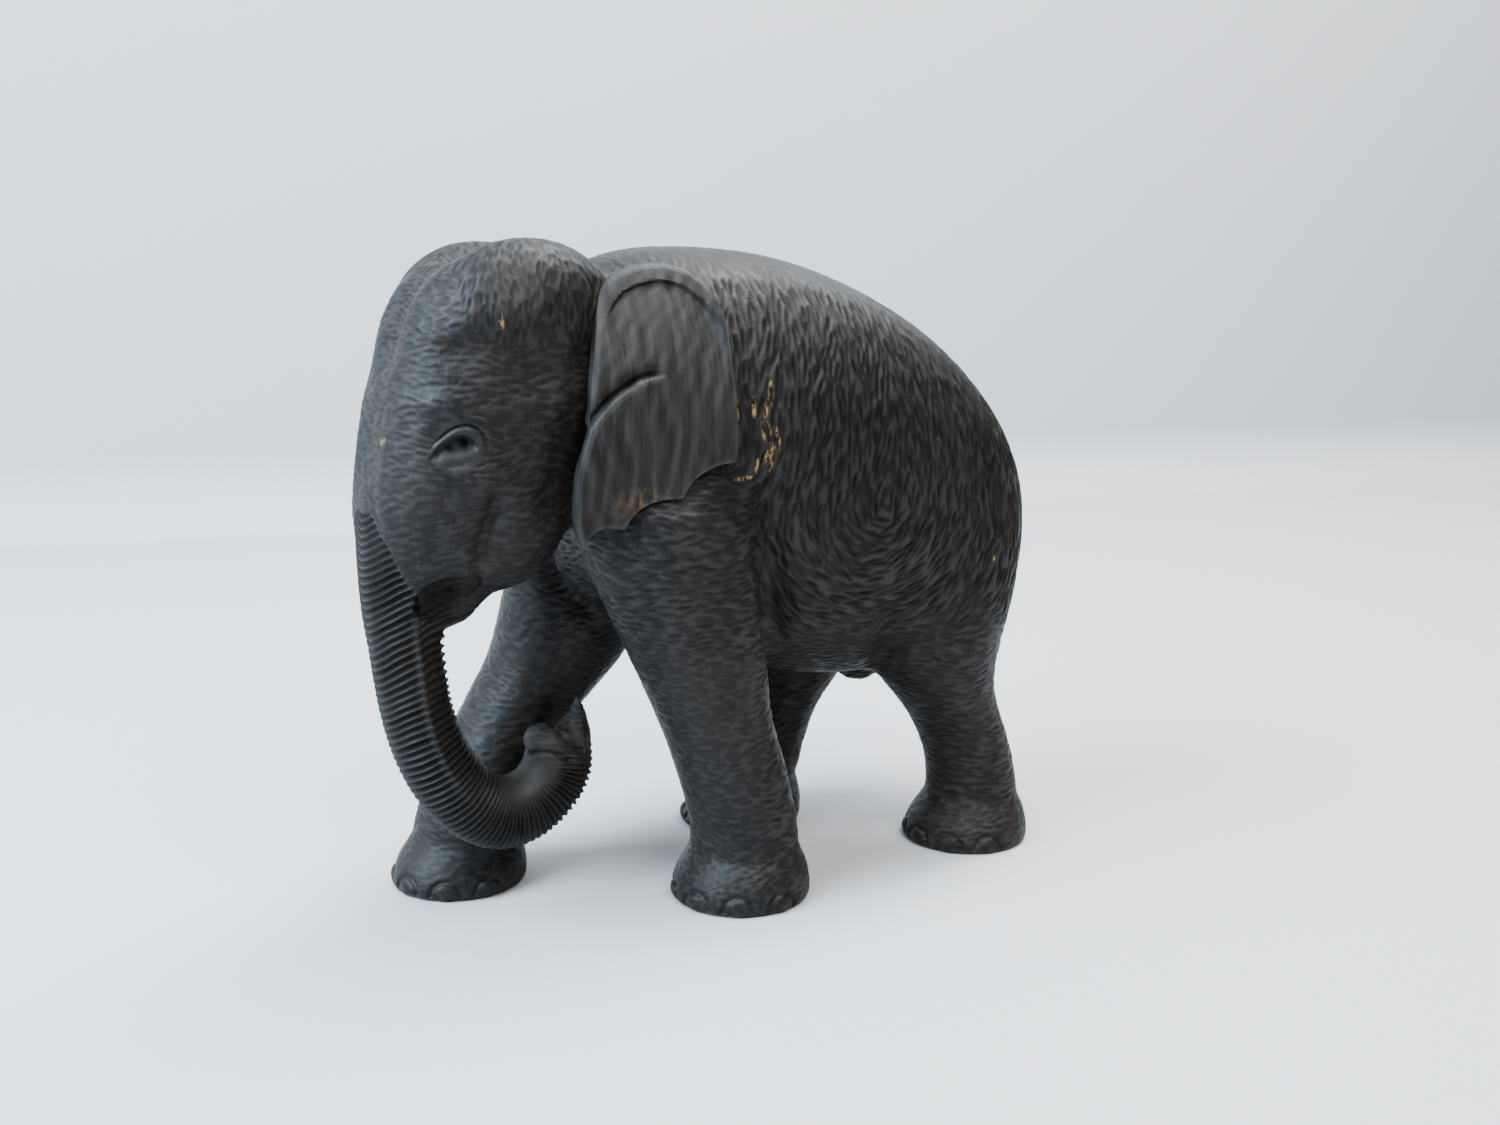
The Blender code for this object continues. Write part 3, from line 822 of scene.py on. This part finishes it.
# The ear's edge in x and z, from its front top over the rear to the front
# again: each run is a smooth curve, and the runs meet in corners.
EAR_RUNS = (
    (
        (-46.9, 145.6), (-45.4, 150), (-43.6, 153.1),
        (-40.4, 155.8), (-34.1, 157.9), (-28.2, 158.0),
        (-23.1, 156.0), (-19.8, 151.9), (-18.3, 146.4),
        (-18.2, 139.8), (-18.6, 131.9), (-18.8, 122.9),
        (-19.0, 116.6), (-19.4, 113.2),
    ),
    ((-19.4, 113.2), (-23.2, 112.6), (-27, 110.9), (-30, 108.2), (-31.8, 105.3)),
    ((-31.8, 105.3), (-36.2, 105.1), (-40, 103.9), (-43, 101.6), (-44.9, 98.8)),
    ((-44.9, 98.8), (-48, 99.1), (-50.8, 98.7), (-52.7, 97.2), (-54.2, 94.9)),
    (
        (-54.2, 94.9), (-55.3, 99.2), (-55.5, 103.8),
        (-54.8, 111.6), (-53.3, 117.3), (-51.4, 123),
        (-50.7, 128.6), (-49.7, 134.6), (-48.3, 140.8),
        (-46.9, 145.6),
    ),
)
# The fold's edge in x and z, from inside the ear down to its front.
EAR_FOLD = (
    (-33.6, 132.9), (-37.5, 132.7), (-41, 131.4),
    (-45.2, 128.8), (-48.4, 125.9), (-51.6, 122.2),
    (-54.5, 117),
)
EAR_THICKNESS = 2.4
EAR_STEP = 0.32
EAR_RINGS = 84


def ear_outline():
    """The ear's edge as evenly spaced points, and the corners kept sharp."""
    runs = []
    for run in EAR_RUNS:
        dense = spline(run, 400)
        gone = np.concatenate([[0], np.cumsum(np.linalg.norm(np.diff(dense, axis=0), axis=1))])
        count = max(4, int(gone[-1] / EAR_STEP))
        at = np.linspace(0, gone[-1], count, endpoint=False)
        runs.append(np.stack([np.interp(at, gone, dense[:, k]) for k in (0, 1)], 1))
    return np.vstack(runs)


def ear_reach(x, z):
    """How far from the middle plane the ear's outer face lies, as in the CAD model."""
    return 37 + 0.28 * (x + 35) - 0.0075 * np.maximum(0, z - 115) ** 2


def clear_ears(skin):
    """Sinks the skin below the outer faces of the ears."""
    middle = np.array(EAR_MIDDLE, float)
    edge = ear_outline() - middle
    turns = np.arctan2(edge[:, 1], edge[:, 0])
    for flip in (1, -1):
        offset = skin.points[:, (0, 2)] - middle
        chosen = np.flatnonzero((np.hypot(*offset.T) < 45) & (skin.points[:, 1] * flip > 12))
        offset = offset[chosen]
        far = np.interp(
            np.arctan2(offset[:, 1], offset[:, 0]), turns, np.hypot(*edge.T), period=2 * math.pi
        )
        gap = far - np.hypot(*offset.T)
        limit = ear_reach(*(offset + middle).T) - 1.5
        over = np.maximum(0, skin.points[chosen, 1] * flip - limit)
        skin.points[chosen, 1] -= flip * over * smoothstep(-5, 0.3, gap)


def ear_relief(points, edge):
    """The rolled rim, the dish inside it, and the lobe that folds over it."""
    x, z = points.T
    closed = np.vstack([edge[::3], edge[:1]])
    rim_gap = np.linalg.norm(points - near_path(points, closed)[0], axis=1)
    upper = smoothstep(118, 146, z + 0.5 * (x + 20))
    rear = smoothstep(-46, -40, x)
    rolled = upper * rear
    wide = 1.7 + 2.3 * smoothstep(144, 153, z)
    height = 0.6 * rolled * smoothstep(wide + 0.5, wide - 0.5, rim_gap)
    sunk = smoothstep(wide - 0.5, wide + 0.5, rim_gap) * np.exp(-np.maximum(0, rim_gap - wide) / 8)
    height -= 0.7 * rolled * sunk
    path = spline(EAR_FOLD, 60)
    foot, way, share = near_path(points, path)
    offset = points - foot
    side = np.linalg.norm(offset, axis=1) * np.sign(way[:, 0] * offset[:, 1] - way[:, 1] * offset[:, 0])
    ends = smoothstep(0, 0.16, share)
    lobe = side > 0
    raised = 0.5 * np.exp(-np.abs(side) / 5)
    fallen = -1.5 * np.exp(-((side / 1.8) ** 2))
    height += np.where(lobe, raised, fallen) * ends * np.tanh(np.abs(side) / 0.25)
    front = smoothstep(3.4, 1.0, rim_gap) * smoothstep(-48, -52, x) * smoothstep(122, 117, z)
    height += 0.3 * front
    flat = np.stack([x, 0 * x, z], 1)
    height += 0.22 * ripple(flat * (1, 1, 0.35), 9, 21) + 0.08 * ripple(flat * (1, 1, 0.2), 2.6, 22)
    height += 0.05 * ripple(flat * (1, 1, 0.25), 1.5, 23)
    height -= 0.35 * smoothstep(1.1, 0, rim_gap)
    return height, rim_gap, side, ends


def make_ear(name, flip, tree):
    """One ear: rings from the middle of its outer face, over the edge and back inside."""
    edge = ear_outline()
    middle = np.array(EAR_MIDDLE, float)
    shares = np.linspace(0.012, 1, EAR_RINGS)
    rings = [middle + (edge - middle) * share for share in shares]
    outer = np.vstack(rings)
    height, rim_gap, fold_gap, folded = ear_relief(outer, edge)
    reach = ear_reach(*outer.T) + height
    skin = np.full(len(outer), 0.0)
    for k, (x, z) in enumerate(outer):
        hit = tree.ray_cast(Vector((x, 90 * flip, z)), Vector((0, -flip, 0)))[0]
        if hit is not None:
            skin[k] = abs(hit.y)
    reach = np.maximum(reach, skin + 0.4)
    inner = np.maximum(reach - EAR_THICKNESS, np.minimum(skin + 0.15, reach - 0.6))
    count = len(edge)
    front = np.stack([outer[:, 0], flip * reach, outer[:, 1]], 1)
    back = np.stack([outer[:, 0], flip * inner, outer[:, 1]], 1)
    last = slice(-count, None)
    away = unit(edge - middle)
    turns = []
    for part in (0.15, 0.5, 0.85):
        bulge = 0.32 * math.sin(math.pi * part) ** 0.5
        level = reach[last] * (1 - part) + inner[last] * part
        rim = edge + away * bulge
        turns.append(np.stack([rim[:, 0], flip * level, rim[:, 1]], 1))
    inside = [back[k * count : (k + 1) * count] for k in range(EAR_RINGS - 1, -1, -3)]
    rings = np.vstack([front, *turns, *inside])
    ear = shell(name, rings, count, front[:count].mean(0), inside[-1].mean(0))
    points = points_of(ear.data)
    total = len(points)
    # Rubbed wear lightens the rim; along the fold's crest the same lightening is wear and a painted
    # highlight.
    wear_and_highlight = np.zeros(total)
    wear_and_highlight[: len(outer)] = np.maximum(
        0.8 * smoothstep(1.3, 0.2, rim_gap),
        smoothstep(1.0, 0.5, np.abs(fold_gap - 0.6)) * folded,
    )
    # Painted shade, darkening the crevice above the fold.
    dark = np.zeros(total)
    dark[: len(outer)] = smoothstep(1.0, 0.3, np.abs(fold_gap + 0.7)) * folded
    worn_spot = np.sum(((outer - (-39.5, 104.5)) / (7, 3)) ** 2, axis=1)
    gold = np.zeros(total)
    gold[: len(outer)] = 0.22 * np.exp(-worn_spot)
    streaks = ripple(points * (1, 1, 0.16), 2.2, 24)
    # The cut value darkens with painted shade in the fold's crevice, lightens with wear and highlight,
    # and varies with the grain streaks.
    give(ear, cut=1.2 * dark - 0.6 * wear_and_highlight + 0.2 + 0.3 * streaks, gold=gold)
    return ear


# ---------------------------------------------------------------- the tail

# The tail's middle line and radius: x, z and radius, from its root down.
TAIL = (
    (73.5, 117, 3.2), (80, 115.8, 3.3), (85.9, 112.4, 3.3),
    (90.1, 105, 3.1), (92.2, 96, 2.9), (92.8, 87, 2.7),
    (92, 78, 2.5), (89.9, 70, 2.8), (86.7, 62, 2.75),
    (84.2, 56.4, 1.3),
)
TAIL_SIDES = 64
TAIL_RINGS = 330
TAIL_DARKNESS = 0.35


def make_tail(name):
    """A tapering rope of a tail, with hairs cut along its tuft."""
    line = spline(TAIL, TAIL_RINGS)
    centres = np.stack([line[:, 0], 0 * line[:, 0], line[:, 1]], 1)
    ways = unit(np.gradient(centres, axis=0))
    sides = np.array((0.0, 1.0, 0.0))
    count = TAIL_SIDES
    angles = np.arange(count) * 2 * math.pi / count
    rows = []
    share = np.linspace(0, 1, len(line))
    tuft = smoothstep(0.66, 0.78, share)
    ends = np.sqrt(np.clip(1 - ((share - 0.5) / 0.5) ** 40, 0.02, 1))
    for centre, way, radius, hair, end, at in zip(centres, ways, line[:, 2], tuft, ends, share):
        front = np.cross(sides, way)
        wave = angles * 9 + 14 * at + 0.6 * np.sin(angles * 2 + 9 * at)
        strand = (at * 52 + 0.16 * np.sin(angles * 2)) % 1
        dent = hair * 0.34 * np.abs(np.sin(wave)) ** 0.7
        dent = dent + (1 - hair) * 0.16 * (1 - (2 * strand - 1) ** 2)
        reach = (radius - dent) * end
        across = np.outer(np.cos(angles) * reach, sides)
        rows.append(centre + across + np.outer(np.sin(angles) * reach, front))
    rings = np.vstack(rows)
    tail = shell(name, rings, count, centres[0] - ways[0] * 0.2, centres[-1] + ways[-1] * 0.2)
    total = len(tail.data.vertices)
    give(tail, cut=np.full(total, TAIL_DARKNESS), gold=np.zeros(total))
    return tail


# ---------------------------------------------------------------- materials


EBONY_DARK = (0.0042, 0.0042, 0.0045)
EBONY_BROWN = (0.0090, 0.0079, 0.0074)
EBONY_WARM = (0.0145, 0.0115, 0.0092)
# The next colour lightens crests and edges: rubbed wear together with a painted highlight.
EBONY_RUBBED_AND_HIGHLIGHT = (0.026, 0.025, 0.024)
# Painted shade, for the hollows of the cuts and ribs, the eye pits, the mouth and the ear's fold.
EBONY_PAINTED_SHADE = (0.0016, 0.0015, 0.0015)
EBONY_GOLD = (0.30, 0.19, 0.075)


class Nodes:
    """A material's node tree, built up in the order that it is read."""

    def __init__(self, name):
        self.material = bpy.data.materials.new(name)
        self.material.use_nodes = True
        self.tree = self.material.node_tree
        self.shader = self.tree.nodes["Principled BSDF"]

    def add(self, kind, **values):
        made = self.tree.nodes.new(kind)
        for key, value in values.items():
            if hasattr(made, key):
                setattr(made, key, value)
            else:
                made.inputs[key.replace("_", " ").title()].default_value = value
        return made

    def join(self, source, target):
        self.tree.links.new(source, target)

    def place(self, stretch):
        """The place on the object, in millimetres over the stretch in each direction."""
        where = self.add("ShaderNodeTexCoord")
        scaled = self.add("ShaderNodeMapping")
        scaled.inputs["Scale"].default_value = [1 / (MM * s) for s in stretch]
        self.join(where.outputs["Object"], scaled.inputs["Vector"])
        return scaled.outputs["Vector"]

    def noise(self, stretch, detail=4.0, rough=0.6, warp=0.0):
        made = self.add("ShaderNodeTexNoise")
        made.inputs["Scale"].default_value = 1.0
        made.inputs["Detail"].default_value = detail
        made.inputs["Roughness"].default_value = rough
        made.inputs["Distortion"].default_value = warp
        self.join(self.place(stretch), made.inputs["Vector"])
        return made.outputs["Fac"]

    def ranged(self, value, low, high, to_low, to_high):
        made = self.add("ShaderNodeMapRange")
        keys = ("From Min", "From Max", "To Min", "To Max")
        for key, number in zip(keys, (low, high, to_low, to_high)):
            made.inputs[key].default_value = number
        self.join(value, made.inputs["Value"])
        return made.outputs["Result"]

    def worked(self, operation, a, b):
        made = self.add("ShaderNodeMath", operation=operation)
        for socket, value in zip(made.inputs, (a, b)):
            if isinstance(value, (int, float)):
                socket.default_value = value
            else:
                self.join(value, socket)
        return made.outputs["Value"]

    def mixed(self, share, first, second):
        made = self.add("ShaderNodeMix", data_type="RGBA")
        self.join(share, made.inputs["Factor"])
        for socket, value in (("A", first), ("B", second)):
            target = next(s for s in made.inputs if s.name == socket and s.type == "RGBA")
            if isinstance(value, tuple):
                target.default_value = (*value, 1)
            else:
                self.join(value, target)
        return next(s for s in made.outputs if s.type == "RGBA")

    def stored(self, name):
        made = self.add("ShaderNodeAttribute", attribute_name=name)
        return made.outputs["Fac"]

    def bump(self, height, strength, distance, under=None):
        made = self.add("ShaderNodeBump")
        made.inputs["Strength"].default_value = strength
        made.inputs["Distance"].default_value = distance * MM
        self.join(height, made.inputs["Height"])
        if under is not None:
            self.join(under, made.inputs["Normal"])
        return made.outputs["Normal"]


def ebony(name, grain=(0.9, 0.9, 9.0), bump=1.0):
    """Oiled dark wood: grain, pores, duller cuts whose hollows are darkened as painted shade, crests
    paler from rubbed wear and a painted highlight, and paler flecks.
    """
    made = Nodes(name)
    lines = made.noise(grain, 5, 0.65, 0.3)
    clouds = made.noise((22, 22, 34), 3, 0.55, 0.4)
    pores = made.noise((0.26, 0.26, 2.4), 2, 0.5)
    colour = made.mixed(made.ranged(lines, 0.35, 0.7, 0, 1), EBONY_DARK, EBONY_BROWN)
    colour = made.mixed(made.ranged(clouds, 0.45, 0.75, 0, 0.55), colour, EBONY_WARM)
    cut = made.stored("cut")
    # Paler where nothing is cut: rubbed wear on crests and edges, and a painted highlight on them.
    colour = made.mixed(made.ranged(cut, 0.3, -0.5, 0, 0.9), colour, EBONY_RUBBED_AND_HIGHLIGHT)
    # Painted shade: darker the deeper the cut, in strokes, ribs, eye pits, mouth and the ear's fold; the
    # ear's grain streaks darken a little with it too.
    colour = made.mixed(made.ranged(cut, 0.4, 1.4, 0, 0.75), colour, EBONY_PAINTED_SHADE)
    patches = made.noise((1.3, 1.3, 3.4), 4, 0.7, 0.2)
    gold = made.worked("MULTIPLY", made.stored("gold"), made.ranged(patches, 0.47, 0.62, 0, 1))
    colour = made.mixed(made.worked("MULTIPLY", gold, 0.85), colour, EBONY_GOLD)
    made.join(colour, made.shader.inputs["Base Color"])
    rough = made.ranged(lines, 0.3, 0.7, 0.40, 0.54)
    rough = made.worked("ADD", rough, made.ranged(cut, 0, 1, -0.03, 0.10))
    rough = made.worked("ADD", rough, made.ranged(clouds, 0.35, 0.7, -0.05, 0.06))
    made.join(rough, made.shader.inputs["Roughness"])
    made.join(made.ranged(cut, 0.4, 1.6, 0.125, 0.01), made.shader.inputs["Specular IOR Level"])
    fine = made.bump(pores, 0.35 * bump, 0.12)
    fine = made.bump(lines, 0.30 * bump, 0.16, fine)
    speck = made.noise((0.5, 0.5, 0.9), 4, 0.7)
    fine = made.bump(speck, 0.45 * bump, 0.16, fine)
    made.join(fine, made.shader.inputs["Normal"])
    return made.material


def dowel_wood(name):
    """Pale straight-grained wood for the dowels and pegs inside."""
    made = Nodes(name)
    lines = made.noise((0.5, 0.5, 8.0), 4, 0.6, 0.2)
    rings = made.noise((3.0, 3.0, 20.0), 2, 0.5, 0.3)
    colour = made.mixed(made.ranged(lines, 0.3, 0.7, 0, 1), (0.36, 0.23, 0.12), (0.56, 0.41, 0.25))
    colour = made.mixed(made.ranged(rings, 0.4, 0.7, 0, 0.5), colour, (0.44, 0.29, 0.15))
    made.join(colour, made.shader.inputs["Base Color"])
    made.join(made.ranged(lines, 0.3, 0.7, 0.52, 0.68), made.shader.inputs["Roughness"])
    made.join(made.bump(lines, 0.4, 0.1), made.shader.inputs["Normal"])
    return made.material


# ---------------------------------------------------------------- the studio


def make_backdrop():
    """A pale floor that sweeps up into a wall a good way behind the elephant."""
    profile = [(-1.6, 0.0), (0.62, 0.0)]
    for k in range(1, 13):
        turn = math.radians(7.5 * k)
        profile.append((0.62 + 0.05 * math.sin(turn), 0.05 * (1 - math.cos(turn))))
    profile.append((0.67, 1.8))
    turn = Matrix.Rotation(math.radians(-16), 4, "Z")
    points = [turn @ Vector((x, y, z)) for x in (-2.6, 2.6) for y, z in profile]
    count = len(profile)
    faces = [(k, k + count, k + 1 + count, k + 1) for k in range(count - 1)]
    data = bpy.data.meshes.new("backdrop")
    data.from_pydata(points, [], faces)
    data.shade_smooth()
    backdrop = linked("backdrop", data)
    material = bpy.data.materials.new("pale board")
    material.use_nodes = True
    shader = material.node_tree.nodes["Principled BSDF"]
    shader.inputs["Base Color"].default_value = (0.36, 0.365, 0.375, 1)
    shader.inputs["Roughness"].default_value = 0.85
    data.materials.append(material)
    return backdrop


# The elephant's middle, and the lights: place, size, power, colour and aim.
AIM = (0, 0, 0.08)
LIGHTS = {
    "window": ((-0.95, 0.08, 0.72), (0.9, 0.9), 76, (0.68, 0.85, 1.0), AIM),
    "overhead": ((0, -0.12, 1.35), (1.1, 0.9), 10, (0.95, 0.98, 1.0), AIM),
    "near ceiling": ((-0.1, -0.85, 1.05), (0.9, 0.6), 29, (1.0, 0.98, 0.95), AIM),
    "wall light": ((0.5, 0.1, 1.3), (1.4, 0.5), 74, (0.93, 0.97, 1.0), (0.3, 0.7, 0.35)),
}


def add_light(name, place, size, power, colour, aim):
    data = bpy.data.lights.new(name, "AREA")
    data.shape = "RECTANGLE"
    data.size, data.size_y = size
    data.energy = power
    data.color = colour
    light = linked(name, data)
    light.location = place
    light.rotation_euler = (Vector(aim) - Vector(place)).to_track_quat("-Z", "Y").to_euler()


def light_studio():
    """A window before the head, soft light from above, and a dim room."""
    world = bpy.data.worlds.new("room")
    world.use_nodes = True
    back = world.node_tree.nodes["Background"]
    back.inputs["Color"].default_value = (0.80, 0.88, 1.0, 1)
    back.inputs["Strength"].default_value = 0.08
    bpy.context.scene.world = world
    for name, values in LIGHTS.items():
        add_light(name, *values)


CAMERA_PLACE = (-0.2093, -0.3284, 0.150)
CAMERA_TURN = math.radians(34)
CAMERA_DIP = math.atan(0.175)
CAMERA_LENS = 36


def place_camera():
    """The photograph's camera: 34 degrees round from the left side and 10 up."""
    data = bpy.data.cameras.new("camera")
    data.lens = CAMERA_LENS
    data.sensor_width = CAMERA_LENS
    data.clip_start = 0.01
    camera = linked("camera", data)
    level = math.cos(CAMERA_DIP)
    way = Vector(
        (math.sin(CAMERA_TURN) * level, math.cos(CAMERA_TURN) * level, -math.sin(CAMERA_DIP))
    )
    camera.location = CAMERA_PLACE
    camera.rotation_euler = way.to_track_quat("-Z", "Y").to_euler()
    bpy.context.scene.camera = camera


# ---------------------------------------------------------------- together


def carve_skin(target):
    """Models the skin and cuts the strokes, and stores what the materials need."""
    refine(target, FINE_SPOTS)
    skin = Skin(target.data)
    shape_head(skin)
    shape_mouth(skin)
    skin.settle()
    shape_eye(skin)
    skin.settle()
    shape_body(skin)
    clear_ears(skin)
    skin.settle()
    shape_feet(skin)
    skin.settle()
    shape_tip(skin)
    skin.settle()
    cut, calm = shape_trunk(skin)
    skin.settle()
    cut, gold = gouge(skin, cut, calm)
    x, y, z = skin.points.T
    # Painted shade: the colour is darkened in the eye pits and in the mouth's hollow.
    for spot, size, amount in PAINTED_SHADE_SPOTS:
        gap = np.hypot(x - spot[0], z - spot[2]) / size
        cut += amount * np.exp(-(gap**2)) * smoothstep(spot[1] - 9, spot[1] - 6, np.abs(y))
    skin.points[:, 2] = np.maximum(skin.points[:, 2], 0)
    skin.settle()
    # The cut value holds the depth of the cuts and the painted shade spots, which the material paints as
    # shade, and lighter values for rubbed crests.
    give(target, cut=cut, gold=gold)
    return skin


def dress(piece, node, material):
    """Gives a piece its node's place in the model."""
    piece.name = "carved_" + node
    piece.data.materials.clear()
    piece.data.materials.append(material)
    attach(piece, "root")
    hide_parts(node)


def carve(nodes):
    """Every carved piece by the name of the node that it stands for."""
    target = fused_skin(nodes)
    skin = carve_skin(target)
    tree = BVHTree.FromPolygons(skin.points.tolist(), [tuple(f.vertices) for f in skin.mesh.polygons])
    carved = sawn_blocks(target, nodes)
    carved["left_ear"] = make_ear("left_ear_skin", -1, tree)
    carved["right_ear"] = make_ear("right_ear_skin", 1, tree)
    carved["tail"] = make_tail("tail_skin")
    return carved


def colour_hidden(nodes):
    """The dowels and pegs stay as they are in the CAD model, in a paler wood."""
    pegs = dowel_wood("dowel wood")
    for name, node in nodes.items():
        if "dowel" in name or "peg" in name:
            node.data.materials.clear()
            node.data.materials.append(pegs)


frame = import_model()
wood = ebony("ebony")
ear_wood = ebony("ebony of the ears", grain=(0.45, 0.45, 7.0), bump=1.3)
for node, piece in carve(frame["nodes"]).items():
    finish_mesh(piece)
    dress(piece, node, ear_wood if "ear" in node else wood)
colour_hidden(frame["nodes"])
make_backdrop()
light_studio()
place_camera()
